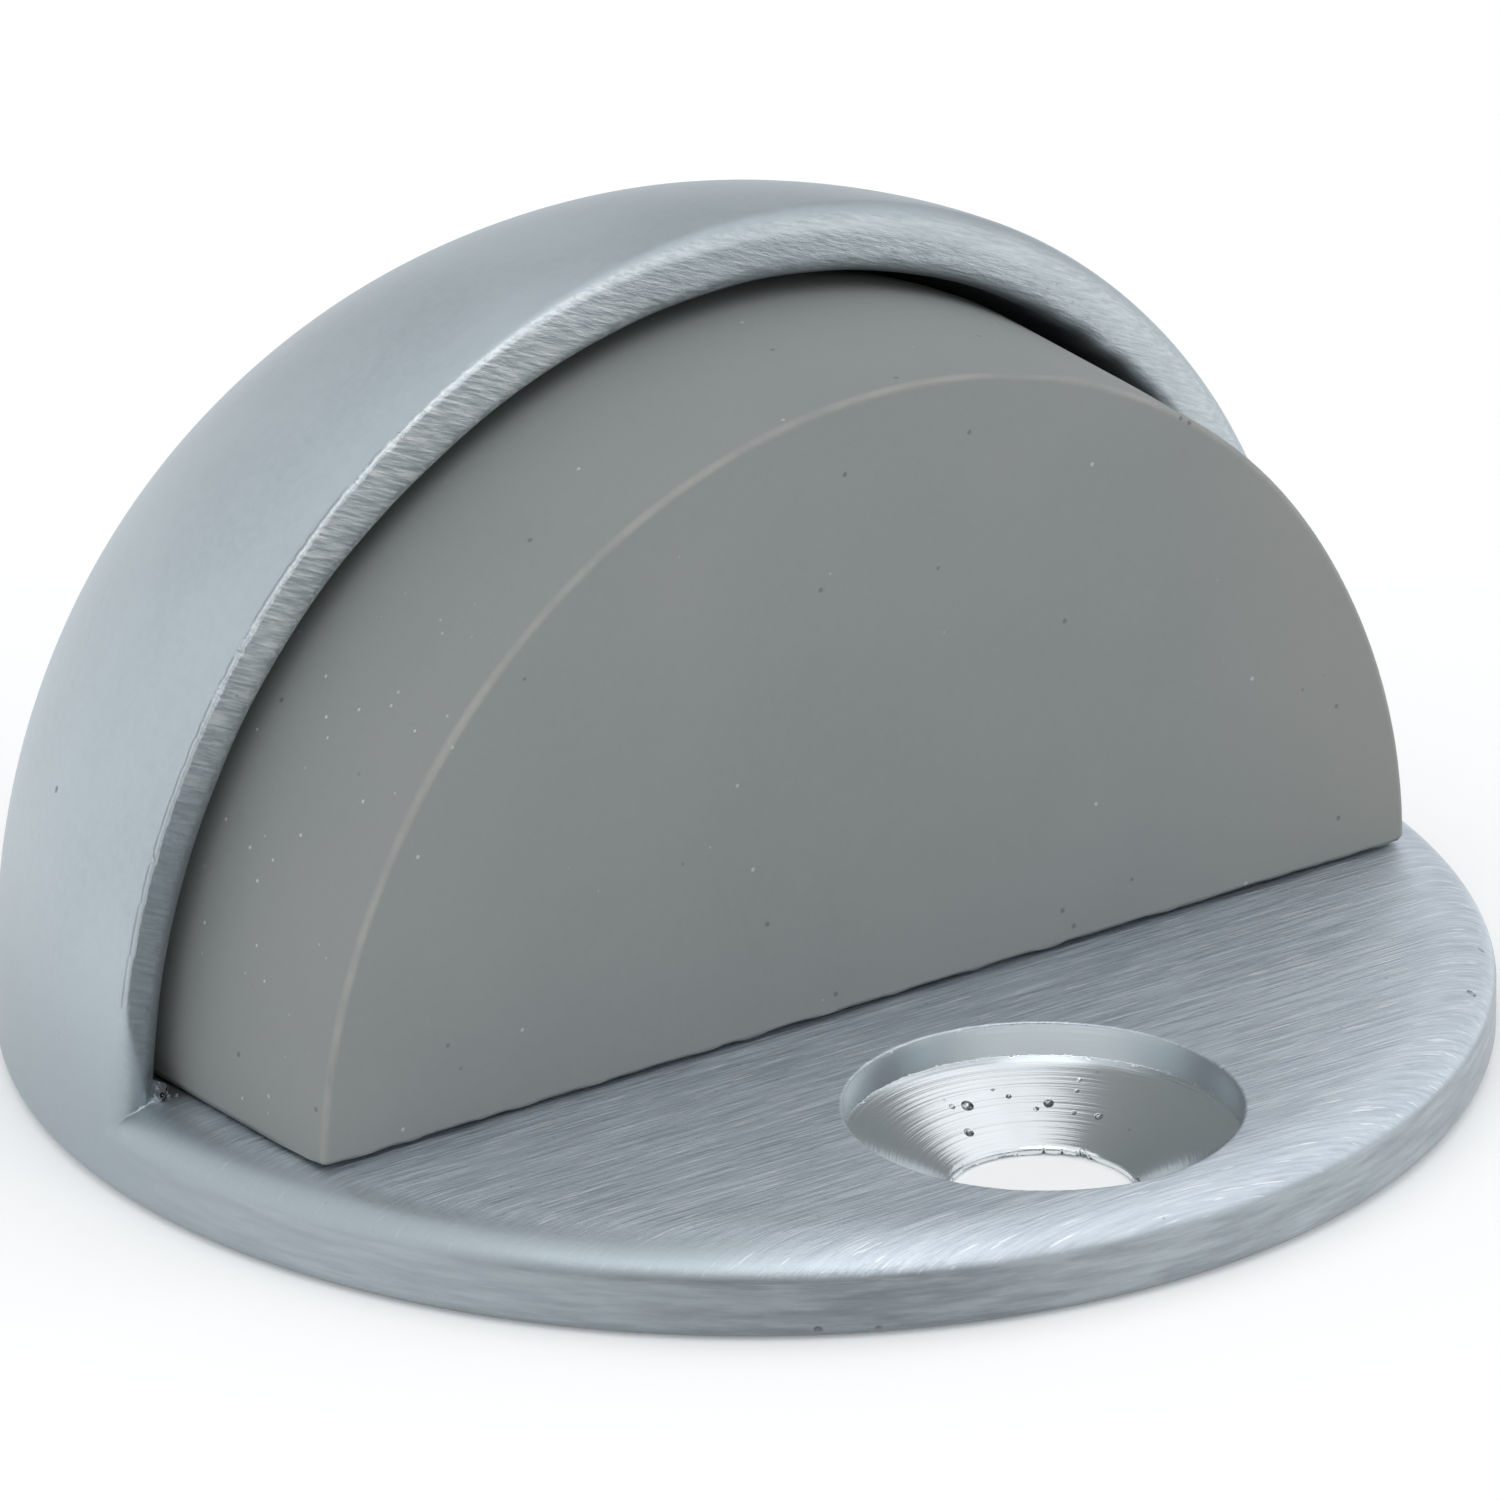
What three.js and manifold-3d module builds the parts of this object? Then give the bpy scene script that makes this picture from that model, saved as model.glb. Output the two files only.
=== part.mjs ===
// Low dome door stop for the floor: a cast body whose hood holds a rubber bumper.
// Millimetres. +Z is up, the floor is z = 0, and the door comes from the -Y side.
// The origin is the centre of the round base, on the floor.

import * as THREE from 'three';
import { mergeVertices } from 'three/addons/utils/BufferGeometryUtils.js';
import Module from 'manifold-3d';

// ---------------------------------------------------------------- driving dimensions

// Cast body
const BASE_RADIUS = 23.8;
const PLATE_THICKNESS = 3.1;
const OVERALL_HEIGHT = 27.3;
const HOOD_WALL = 1.8;
const HOOD_CROWN = 2.3;
const RIM_Y = 1.2;
const RIM_EDGE_ROUND = 0.8;
const RIM_LIP_ROUND = 0.4;
const SHOULDER_WIDTH = 1.8;
const SHOULDER_HEIGHT = 0.9;
const FLOOR_EDGE_ROUND = 0.6;

// Hole for the floor screw
const FLOOR_HOLE_Y = -15.7;
const FLOOR_HOLE_RADIUS = 2.95;
const FLOOR_HOLE_LAND = 0.25;
const COUNTERBORE_RADIUS = 6.35;
const COUNTERBORE_DEPTH = 1.15;

// Rubber bumper
const BUMPER_SIDE_CLEARANCE = 0.6;
const BUMPER_CROWN_CLEARANCE = 0.65;
const BUMPER_HOOD_CLEARANCE = 0.35;
const BUMPER_SEAT_GAP = 0.1;
const BUMPER_PROUD = 7.7;
const BUMPER_BACK_GAP = 5.5;
const BUMPER_EDGE_ROUND = 0.15;

// Fixing of the bumper: a nut plate in its underside and two screws from below
const NUT_PLATE_LENGTH = 24;
const NUT_PLATE_WIDTH = 8;
const NUT_PLATE_THICKNESS = 2.4;
const NUT_PLATE_Y = 6.5;
const NUT_PLATE_CORNER = 2.5;
const SCREW_SPACING = 15;
const SCREW_RADIUS = 1.5;
const SCREW_LENGTH = 8;
const SCREW_HEAD_RADIUS = 2.75;
const SCREW_HEAD_RECESS = 0.25;
const SCREW_POINT = 0.4;
const DRIVE_SLOT_WIDTH = 0.7;
const DRIVE_SLOT_LENGTH = 3.0;
const DRIVE_SLOT_DEPTH = 1.0;

// Clearances
const MOULDED_GAP = 0.3;
const THREAD_GAP = 0.3;
const SCREW_BORE_GAP = 0.35;
const COUNTERSINK_GAP = 0.3;
const SCREW_TIP_ROOM = 1.0;

// Fineness of the curved faces
const ROUND_SIDES = 88;
const DOME_RINGS = 18;
const EDGE_STEPS = 3;
const SHOULDER_STEPS = 6;
const SMALL_SIDES = 32;
const CUT_MARGIN = 2;
const JOIN_OVERLAP = 0.5;

// ---------------------------------------------------------------- derived dimensions

const rimRoundY = RIM_Y + RIM_EDGE_ROUND;
const rimRoundRadius = Math.sqrt(BASE_RADIUS ** 2 - rimRoundY ** 2) - RIM_EDGE_ROUND;
const hoodInnerRadius = BASE_RADIUS - HOOD_WALL;
const hoodInnerHeight = OVERALL_HEIGHT - HOOD_CROWN - PLATE_THICKNESS;
const bumperFrontY = RIM_Y - BUMPER_PROUD;
const bumperBackY = hoodInnerRadius - BUMPER_BACK_GAP;
const bumperBottomZ = PLATE_THICKNESS + BUMPER_SEAT_GAP;
const bumperRadius = hoodInnerRadius - BUMPER_SIDE_CLEARANCE;
const bumperTopZ = OVERALL_HEIGHT - HOOD_CROWN - BUMPER_CROWN_CLEARANCE;
const bumperCentreZ = bumperTopZ - bumperRadius;
const nutPlateBottomZ = bumperBottomZ + MOULDED_GAP;
const screwXs = [-SCREW_SPACING / 2, SCREW_SPACING / 2];

// ---------------------------------------------------------------- solids

const wasm = await Module();
wasm.setup();

function toSolid(geometry) {
  const bare = geometry.index ? geometry.toNonIndexed() : geometry;
  bare.deleteAttribute('normal');
  bare.deleteAttribute('uv');
  const merged = mergeVertices(bare, 1e-5);
  return new wasm.Manifold(new wasm.Mesh({
    numProp: 3,
    vertProperties: new Float32Array(merged.attributes.position.array),
    triVerts: new Uint32Array(merged.index.array),
  }));
}

function toGeometry(solid) {
  const mesh = solid.getMesh();
  const geometry = new THREE.BufferGeometry();
  geometry.setAttribute('position', new THREE.BufferAttribute(mesh.vertProperties, 3));
  geometry.setIndex(new THREE.BufferAttribute(mesh.triVerts, 1));
  geometry.computeVertexNormals();
  return geometry;
}

// Turns an outline of (radius, height) points about the vertical Z axis.
function turnedAboutZ(outline, sides) {
  const geometry = new THREE.LatheGeometry(outline, sides);
  geometry.rotateX(Math.PI / 2);
  return toSolid(geometry);
}

// Turns an outline of (radius, y) points about the Y axis.
function turnedAboutY(outline, sides) {
  return toSolid(new THREE.LatheGeometry(outline, sides));
}

function box(low, high) {
  const size = new THREE.Vector3().subVectors(high, low);
  const geometry = new THREE.BoxGeometry(size.x, size.y, size.z);
  geometry.translate(low.x + size.x / 2, low.y + size.y / 2, low.z + size.z / 2);
  return toSolid(geometry);
}

// Everything under a level, as far out as the part reaches.
function below(z) {
  const reach = BASE_RADIUS + CUT_MARGIN;
  return box(new THREE.Vector3(-reach, -reach, -reach), new THREE.Vector3(reach, reach, z));
}

// Points along a part of an ellipse, from one angle to another.
function arc(centreR, centreH, radiusR, radiusH, fromAngle, toAngle, steps) {
  const points = [];
  for (let i = 0; i <= steps; i += 1) {
    const angle = fromAngle + (toAngle - fromAngle) * i / steps;
    points.push(new THREE.Vector2(
      centreR + radiusR * Math.cos(angle),
      centreH + radiusH * Math.sin(angle),
    ));
  }
  return points;
}

// ---------------------------------------------------------------- cast body

// The round edge where the side wall meets the floor, from the axis outwards.
function floorEdge() {
  const round = arc(BASE_RADIUS - FLOOR_EDGE_ROUND, FLOOR_EDGE_ROUND,
    FLOOR_EDGE_ROUND, FLOOR_EDGE_ROUND, -Math.PI / 2, 0, EDGE_STEPS);
  return [new THREE.Vector2(0, 0), ...round];
}

// The floor plate, with its round shoulder all the way round.
function plate() {
  const shoulder = arc(BASE_RADIUS - SHOULDER_WIDTH, PLATE_THICKNESS - SHOULDER_HEIGHT,
    SHOULDER_WIDTH, SHOULDER_HEIGHT, 0, Math.PI / 2, SHOULDER_STEPS);
  const axisTop = new THREE.Vector2(0, PLATE_THICKNESS);
  return turnedAboutZ([...floorEdge(), ...shoulder, axisTop], ROUND_SIDES);
}

// The upright wall under the hood, as high as the plate, with the rim's round corners.
function hoodFoot() {
  const wallBack = Math.asin(rimRoundY / BASE_RADIUS);
  const shape = new THREE.Shape();
  shape.moveTo(0, RIM_Y);
  shape.absarc(rimRoundRadius, rimRoundY, RIM_EDGE_ROUND, -Math.PI / 2, 0, false);
  shape.absarc(0, 0, BASE_RADIUS, wallBack, Math.PI - wallBack, false);
  shape.absarc(-rimRoundRadius, rimRoundY, RIM_EDGE_ROUND, Math.PI, Math.PI * 1.5, false);
  const options = { depth: PLATE_THICKNESS, bevelEnabled: false, curveSegments: ROUND_SIDES / 2 };
  const wall = toSolid(new THREE.ExtrudeGeometry(shape, options));
  const sideTop = new THREE.Vector2(BASE_RADIUS, PLATE_THICKNESS);
  const axisTop = new THREE.Vector2(0, PLATE_THICKNESS);
  return wall.intersect(turnedAboutZ([...floorEdge(), sideTop, axisTop], ROUND_SIDES * 2));
}

// A quarter ball behind the rim, stretched to a height above the plate's top.
function quarterBall(rimOutline, startY, radius, height, bottomZ) {
  const back = arc(0, 0, radius, radius, Math.asin(startY / radius), Math.PI / 2, DOME_RINGS);
  back[back.length - 1].x = 0;
  const ball = turnedAboutY([...rimOutline, ...back], ROUND_SIDES);
  const stretched = ball.scale([1, 1, height / radius]).translate([0, 0, PLATE_THICKNESS]);
  return stretched.subtract(below(bottomZ));
}

function hoodOutside() {
  const rim = [
    new THREE.Vector2(0, RIM_Y),
    ...arc(rimRoundRadius, rimRoundY, RIM_EDGE_ROUND, RIM_EDGE_ROUND,
      -Math.PI / 2, 0, EDGE_STEPS).slice(0, -1),
  ];
  const height = OVERALL_HEIGHT - PLATE_THICKNESS;
  return quarterBall(rim, rimRoundY, BASE_RADIUS, height, PLATE_THICKNESS - JOIN_OVERLAP);
}

// The hollow of the hood, flared at the rim by the lip's round.
function hoodInside() {
  const startY = RIM_Y + RIM_LIP_ROUND;
  const lipRadius = Math.sqrt(hoodInnerRadius ** 2 - startY ** 2) + RIM_LIP_ROUND;
  const lip = [
    new THREE.Vector2(0, RIM_Y - CUT_MARGIN),
    new THREE.Vector2(lipRadius, RIM_Y - CUT_MARGIN),
    ...arc(lipRadius, startY, RIM_LIP_ROUND, RIM_LIP_ROUND,
      Math.PI * 1.5, Math.PI, EDGE_STEPS).slice(0, -1),
  ];
  return quarterBall(lip, startY, hoodInnerRadius, hoodInnerHeight, PLATE_THICKNESS);
}

function floorScrewHole() {
  const counterboreZ = PLATE_THICKNESS - COUNTERBORE_DEPTH;
  const outline = [
    new THREE.Vector2(0, -CUT_MARGIN),
    new THREE.Vector2(FLOOR_HOLE_RADIUS, -CUT_MARGIN),
    new THREE.Vector2(FLOOR_HOLE_RADIUS, FLOOR_HOLE_LAND),
    new THREE.Vector2(COUNTERBORE_RADIUS, counterboreZ),
    new THREE.Vector2(COUNTERBORE_RADIUS, PLATE_THICKNESS + CUT_MARGIN),
    new THREE.Vector2(0, PLATE_THICKNESS + CUT_MARGIN),
  ];
  return turnedAboutZ(outline, ROUND_SIDES / 2).translate([0, FLOOR_HOLE_Y, 0]);
}

// The countersunk hole in the plate for a bumper screw, its mouth on the floor side.
function bumperScrewHole(x) {
  const mouth = SCREW_HEAD_RADIUS + COUNTERSINK_GAP;
  const bore = SCREW_RADIUS + SCREW_BORE_GAP;
  const coneBottom = SCREW_HEAD_RECESS;
  const outline = [
    new THREE.Vector2(0, -CUT_MARGIN),
    new THREE.Vector2(mouth, -CUT_MARGIN),
    new THREE.Vector2(mouth, coneBottom),
    new THREE.Vector2(bore, coneBottom + mouth - bore),
    new THREE.Vector2(bore, PLATE_THICKNESS + CUT_MARGIN),
    new THREE.Vector2(0, PLATE_THICKNESS + CUT_MARGIN),
  ];
  return turnedAboutZ(outline, SMALL_SIDES).translate([x, NUT_PLATE_Y, 0]);
}

function castBody() {
  let body = plate().add(hoodFoot()).add(hoodOutside());
  body = body.subtract(hoodInside()).subtract(floorScrewHole());
  for (const x of screwXs) {
    body = body.subtract(bumperScrewHole(x));
  }
  return body;
}

// ---------------------------------------------------------------- rubber bumper

// A half disc that fills the hood, with a round back that follows the hood's inside.
function bumperBlank() {
  const backRadius = hoodInnerRadius - BUMPER_HOOD_CLEARANCE;
  const startY = Math.sqrt(backRadius ** 2 - bumperRadius ** 2);
  const fromAngle = Math.atan2(startY, bumperRadius);
  const toAngle = Math.asin(bumperBackY / backRadius);
  const outline = [
    new THREE.Vector2(0, bumperFrontY),
    ...arc(bumperRadius - BUMPER_EDGE_ROUND, bumperFrontY + BUMPER_EDGE_ROUND,
      BUMPER_EDGE_ROUND, BUMPER_EDGE_ROUND, -Math.PI / 2, 0, 2),
    ...arc(0, 0, backRadius, backRadius, fromAngle, toAngle, DOME_RINGS),
    new THREE.Vector2(0, bumperBackY),
  ];
  return turnedAboutY(outline, ROUND_SIDES).translate([0, 0, bumperCentreZ]);
}

function rubberBumper() {
  let bumper = bumperBlank().subtract(below(bumperBottomZ));
  bumper = bumper.subtract(nutPlateBlank(MOULDED_GAP, CUT_MARGIN));
  for (const x of screwXs) {
    bumper = bumper.subtract(screwTipBore(x));
  }
  return bumper;
}

// The blind hole in the rubber above the nut plate, where a screw's end stands clear.
function screwTipBore(x) {
  const radius = SCREW_RADIUS + SCREW_BORE_GAP;
  const top = SCREW_HEAD_RECESS + SCREW_LENGTH + SCREW_TIP_ROOM;
  const outline = [
    new THREE.Vector2(0, bumperBottomZ),
    new THREE.Vector2(radius, bumperBottomZ),
    new THREE.Vector2(radius, top),
    new THREE.Vector2(0, top),
  ];
  return turnedAboutZ(outline, SMALL_SIDES).translate([x, NUT_PLATE_Y, 0]);
}

// ---------------------------------------------------------------- fixing of the bumper

// The nut plate's outline, grown all round by a gap, and made deeper below for a pocket.
function nutPlateBlank(gap, extraBelow) {
  const halfLength = NUT_PLATE_LENGTH / 2 + gap;
  const halfWidth = NUT_PLATE_WIDTH / 2 + gap;
  const corner = NUT_PLATE_CORNER + gap;
  const shape = new THREE.Shape();
  shape.moveTo(halfLength - corner, -halfWidth);
  shape.absarc(halfLength - corner, -halfWidth + corner, corner, -Math.PI / 2, 0, false);
  shape.absarc(halfLength - corner, halfWidth - corner, corner, 0, Math.PI / 2, false);
  shape.absarc(-halfLength + corner, halfWidth - corner, corner, Math.PI / 2, Math.PI, false);
  shape.absarc(-halfLength + corner, -halfWidth + corner, corner, Math.PI, Math.PI * 1.5, false);
  const depth = NUT_PLATE_THICKNESS + gap + extraBelow;
  const options = { depth, bevelEnabled: false, curveSegments: EDGE_STEPS };
  const solid = toSolid(new THREE.ExtrudeGeometry(shape, options));
  return solid.translate([0, NUT_PLATE_Y, nutPlateBottomZ - extraBelow]);
}

function nutPlate() {
  let plate = nutPlateBlank(0, 0);
  for (const x of screwXs) {
    plate = plate.subtract(nutPlateHole(x));
  }
  return plate;
}

function nutPlateHole(x) {
  const radius = SCREW_RADIUS + THREAD_GAP;
  const low = nutPlateBottomZ - CUT_MARGIN;
  const high = nutPlateBottomZ + NUT_PLATE_THICKNESS + CUT_MARGIN;
  const outline = [
    new THREE.Vector2(0, low),
    new THREE.Vector2(radius, low),
    new THREE.Vector2(radius, high),
    new THREE.Vector2(0, high),
  ];
  return turnedAboutZ(outline, SMALL_SIDES).translate([x, NUT_PLATE_Y, 0]);
}

// A countersunk machine screw, head down, with its head's face just above the floor.
function bumperScrew(x) {
  const headHeight = SCREW_HEAD_RADIUS - SCREW_RADIUS;
  const outline = [
    new THREE.Vector2(0, 0),
    new THREE.Vector2(SCREW_HEAD_RADIUS, 0),
    new THREE.Vector2(SCREW_RADIUS, headHeight),
    new THREE.Vector2(SCREW_RADIUS, SCREW_LENGTH - SCREW_POINT),
    new THREE.Vector2(SCREW_RADIUS - SCREW_POINT, SCREW_LENGTH),
    new THREE.Vector2(0, SCREW_LENGTH),
  ];
  let screw = turnedAboutZ(outline, SMALL_SIDES);
  const half = DRIVE_SLOT_LENGTH / 2;
  const side = DRIVE_SLOT_WIDTH / 2;
  screw = screw.subtract(box(
    new THREE.Vector3(-half, -side, -CUT_MARGIN),
    new THREE.Vector3(half, side, DRIVE_SLOT_DEPTH),
  ));
  screw = screw.subtract(box(
    new THREE.Vector3(-side, -half, -CUT_MARGIN),
    new THREE.Vector3(side, half, DRIVE_SLOT_DEPTH),
  ));
  return screw.translate([x, NUT_PLATE_Y, SCREW_HEAD_RECESS]);
}

// ---------------------------------------------------------------- assembly

const doorStop = new THREE.Group();

function addPiece(name, solid, look) {
  const mesh = new THREE.Mesh(toGeometry(solid), new THREE.MeshStandardMaterial(look));
  mesh.name = name;
  doorStop.add(mesh);
}

const satinCasting = { color: 0xb4bcc4, roughness: 0.38, metalness: 1.0 };
const greyRubber = { color: 0x7d8278, roughness: 0.7, metalness: 0.0 };
const zincSteel = { color: 0xb9b7ae, roughness: 0.35, metalness: 1.0 };

addPiece('cast_body', castBody(), satinCasting);
addPiece('rubber_bumper', rubberBumper(), greyRubber);
addPiece('bumper_nut_plate', nutPlate(), zincSteel);
addPiece('bumper_screw_left', bumperScrew(screwXs[0]), zincSteel);
addPiece('bumper_screw_right', bumperScrew(screwXs[1]), zincSteel);

export default doorStop;
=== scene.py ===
"""A low dome door stop for the floor: a satin cast body whose hood holds a grey rubber bumper.

The CAD pieces are remeshed finely, and each point is moved onto the real surface, which is
written here as a distance field: the ground rim, the rounded shoulder, the counterbore with its
tool edges and pores, the trimmed rubber. Lengths in the distance fields are millimetres.
"""

import math

import bmesh
import bpy
import numpy as np
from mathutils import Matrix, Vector


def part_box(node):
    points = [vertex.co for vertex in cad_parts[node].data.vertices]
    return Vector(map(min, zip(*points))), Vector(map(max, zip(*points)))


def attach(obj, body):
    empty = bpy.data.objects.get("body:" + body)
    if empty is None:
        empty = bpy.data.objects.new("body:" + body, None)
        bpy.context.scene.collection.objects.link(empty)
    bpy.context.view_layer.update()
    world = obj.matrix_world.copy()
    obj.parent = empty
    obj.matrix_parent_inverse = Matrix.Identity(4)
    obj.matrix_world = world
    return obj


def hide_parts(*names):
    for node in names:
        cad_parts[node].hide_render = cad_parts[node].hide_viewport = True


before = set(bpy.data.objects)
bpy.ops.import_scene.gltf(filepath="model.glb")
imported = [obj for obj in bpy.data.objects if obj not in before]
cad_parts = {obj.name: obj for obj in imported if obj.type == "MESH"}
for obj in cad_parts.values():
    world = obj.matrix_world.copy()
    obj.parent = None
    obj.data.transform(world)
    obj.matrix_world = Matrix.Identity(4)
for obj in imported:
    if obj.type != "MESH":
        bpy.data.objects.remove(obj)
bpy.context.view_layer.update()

MM = 0.001


# ---------------------------------------------------------------- sizes from the CAD frame

def node_box(name):
    low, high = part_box(name)
    return np.array(low) / MM, np.array(high) / MM


_, body_high = node_box("cast_body")
bumper_low, bumper_high = node_box("rubber_bumper")
nut_low, nut_high = node_box("bumper_nut_plate")
screw_boxes = [node_box("bumper_screw_left"), node_box("bumper_screw_right")]

BASE_RADIUS = body_high[0]
BUMPER_BOTTOM = bumper_low[2]
BUMPER_STAND_OFF = 0.1      # the bumper's clearance over the floor plate
PLATE_TOP = BUMPER_BOTTOM - BUMPER_STAND_OFF
RIM_DROP = 0.08             # how much the rim's plane cuts off the top of the full dome
DOME_HEIGHT = body_high[2] - PLATE_TOP + RIM_DROP
RIM_Y = 1.2
HOOD_WALL = 1.8
HOOD_CROWN = 2.3
INNER_RADIUS = BASE_RADIUS - HOOD_WALL
INNER_HEIGHT = DOME_HEIGHT - HOOD_CROWN
DOME_RADII = np.array((BASE_RADIUS, BASE_RADIUS, DOME_HEIGHT))
INNER_RADII = np.array((INNER_RADIUS, INNER_RADIUS, INNER_HEIGHT))
SHOULDER_WIDTH = 2.2
SHOULDER_HEIGHT = 1.2
FLOOR_EDGE = 0.6
BORE_Y = -15.7
BORE_RADIUS = 6.35
BORE_DEPTH = 1.15
HOLE_RADIUS = 2.95
HOLE_LAND = 0.25
BUMPER_RADIUS = 21.4
BUMPER_TOP = bumper_high[2]
BUMPER_CENTRE = BUMPER_TOP - BUMPER_RADIUS
BUMPER_FRONT = bumper_low[1]
BUMPER_BACK = bumper_high[1]
BUMPER_BALL = 21.65
NUT_Y = (nut_low[1] + nut_high[1]) / 2
SCREW_X = [(low[0] + high[0]) / 2 for low, high in screw_boxes]
SCREW_FOOT = screw_boxes[0][0][2]
SCREW_TIP = screw_boxes[0][1][2]
SCREW_HOLE_RADIUS = 1.85
COUNTERSINK_RADIUS = 3.05
NUT_HALF_SIZE = (12.0, 4.0)
NUT_CORNER = 2.5
NUT_HOLE_RADIUS = 1.8
NUT_POCKET_GAP = 0.3
SHANK_RADIUS = 1.5
HEAD_RADIUS = 2.70
HEAD_CONE_RADIUS = 2.75
THREAD_PITCH = 0.5
THREAD_DEPTH = 0.22
SLOT_HALF_LENGTH = 1.5
SLOT_HALF_WIDTH = 0.35      # at the head's face
SLOT_TAPER = 0.10
SLOT_DEPTH = 1.0


# ---------------------------------------------------------------- distance field tools

def ramp(value, low, high):
    """0 below low, 1 above high, with a smooth rise between."""
    t = np.clip((value - low) / (high - low), 0, 1)
    return t * t * (3 - 2 * t)


def bell(value, centre, width):
    """1 at the centre, fading to 0 on both sides."""
    return np.exp(-((value - centre) / width) ** 2)


def meet(a, b, radius):
    """Inside both a and b, with the outside corner rounded by radius."""
    corner = np.hypot(np.maximum(a + radius, 0), np.maximum(b + radius, 0))
    return np.minimum(np.maximum(a, b), -radius) + corner


def ball(p, radii, centre_z):
    """An ellipsoid on the z axis."""
    q = p - np.array((0.0, 0.0, centre_z))
    k0 = np.linalg.norm(q / radii, axis=1)
    k1 = np.linalg.norm(q / np.square(radii), axis=1)
    return k0 * (k0 - 1) / np.maximum(k1, 1e-9)


def sphere(p, centre, radius):
    return np.linalg.norm(p - np.array(centre), axis=1) - radius


def arc_angle(x, height):
    """Degrees along an arch: 0 at its right foot, 90 at its top, 180 at its left foot."""
    return np.degrees(np.arctan2(height, x))


def bore_distance(p):
    """From the axis of the floor screw's hole."""
    return np.hypot(p[:, 0], p[:, 1] - BORE_Y)


def screw_distance(p, screw_x):
    """From the axis of one of the bumper's screws."""
    return np.hypot(p[:, 0] - screw_x, p[:, 1] - NUT_Y)


def ripple(p, seed, size):
    """A smooth wave without a pattern, from -1 to 1, made of sines in seeded directions."""
    rng = np.random.default_rng(seed)
    total = np.zeros(len(p))
    for _ in range(6):
        direction = rng.normal(size=3)
        direction *= (0.6 + 0.8 * rng.random()) * 2 * math.pi / (size * np.linalg.norm(direction))
        total += np.sin(p @ direction + rng.random() * 2 * math.pi)
    return total / 6


# ---------------------------------------------------------------- cast body

# Pores in the counterbore's cone: angle from +X in degrees, distance from the hole's axis, radius.
BORE_PORES = [
    (83, 4.8, 0.20), (89, 4.9, 0.09), (90, 3.9, 0.16), (66, 4.9, 0.08), (56, 4.4, 0.08),
    (51, 4.6, 0.16), (41, 5.1, 0.06), (41, 5.5, 0.06), (40, 4.3, 0.06), (29, 4.3, 0.13),
    (71, 5.2, 0.04), (200, 5.0, 0.07), (255, 4.6, 0.10), (310, 5.2, 0.08),
]
# Small knocks on the shoulder, the floor edge and the hood: place, radius.
KNOCKS = [
    ((16.6, -16.2, 2.75), 0.16), ((19.0, -13.6, 2.70), 0.14), ((-12.3, -20.4, 0.35), 0.15),
    ((-10.6, -21.3, 0.30), 0.12), ((4.4, -23.2, 2.0), 0.10), ((-20.9, 8.4, 10.8), 0.10),
    ((13.5, 17.5, 14.2), 0.14), ((-6.0, 22.9, 5.4), 0.12),
]
# Burrs left by the grinding wheel at the two feet of the rim: place, radius.
BURRS = [
    ((-21.9, 1.02, 3.12), 0.11), ((-21.6, 0.98, 3.10), 0.08), ((-22.15, 1.02, 3.25), 0.08),
    ((-21.9, 1.05, 3.55), 0.06), ((22.2, 1.05, 3.12), 0.10), ((21.8, 1.02, 3.10), 0.07),
]


# The cone rises by about half of what it spreads. Into the metal is outwards and down.
CONE_SLOPE = 0.5
INTO_METAL = (0.447, 0.894)
PORE_SINK = 0.35            # how deep a pore's centre lies, in its radii


def pores():
    """Each pore's centre, a little under the cone's surface, and its radius."""
    for angle, distance, radius in BORE_PORES:
        turn = math.radians(angle)
        height = HOLE_LAND + (distance - HOLE_RADIUS) * CONE_SLOPE
        sunk = PORE_SINK * radius
        reach = distance + INTO_METAL[0] * sunk
        across, along = reach * math.cos(turn), reach * math.sin(turn)
        centre = (across, BORE_Y + along, height - INTO_METAL[1] * sunk)
        yield np.array(centre), radius


def bore_field(p):
    """The counterbore, its cone and the hole, negative in the hole."""
    q = bore_distance(p)
    z = p[:, 2]
    cone_top = PLATE_TOP - BORE_DEPTH
    run, rise = BORE_RADIUS - HOLE_RADIUS, cone_top - HOLE_LAND
    slant = math.hypot(run, rise)
    cone = (rise * (q - BORE_RADIUS) - run * (z - cone_top)) / slant
    upper = np.maximum(q - BORE_RADIUS, cone)
    return -meet(-upper, -(q - HOLE_RADIUS), 0.12)


def screw_hole_field(p, screw_x):
    """A countersunk hole, cut off above the plate so that it never reaches the dome."""
    q = screw_distance(p, screw_x)
    cone = ((q - COUNTERSINK_RADIUS) + (p[:, 2] - SCREW_FOOT)) / math.sqrt(2)
    hole = np.minimum(np.maximum(q - COUNTERSINK_RADIUS, cone), q - SCREW_HOLE_RADIUS)
    return np.maximum(hole, p[:, 2] - (PLATE_TOP + 1.0))


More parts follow.
